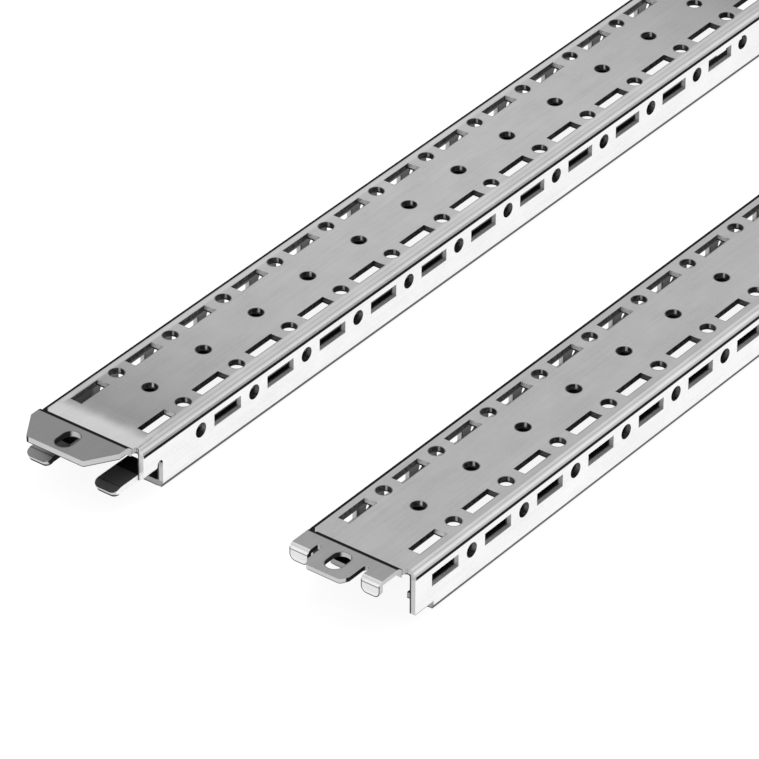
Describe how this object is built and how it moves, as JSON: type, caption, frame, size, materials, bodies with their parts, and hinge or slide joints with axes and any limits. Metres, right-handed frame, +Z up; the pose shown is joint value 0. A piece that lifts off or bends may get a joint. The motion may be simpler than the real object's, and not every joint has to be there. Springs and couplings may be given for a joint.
{
  "type": "rack support rail pair",
  "caption": "Punched sheet-steel channel rails for the outer and inner mounting level of a server enclosure, with stepped screw flanges, hooks and lower tongues at the ends.",
  "frame": {"origin": "on the surface that the rails stand on, below the middle of the pair", "axes": "+X along the rails, +Y across the pair from the inner to the outer level rail, +Z up"},
  "size_m": [0.364, 0.1364, 0.02],
  "materials": {
    "outer_rail_zinc": "bright zinc plating over rolled sheet, fine grain along the rail",
    "inner_rail_zinc": "bright zinc plating over rolled sheet, fine grain along the rail"
  },
  "bodies": {
    "root": {"outer_level_rail": "outer_rail_zinc", "inner_level_rail": "inner_rail_zinc"}
  },
  "joints": []
}
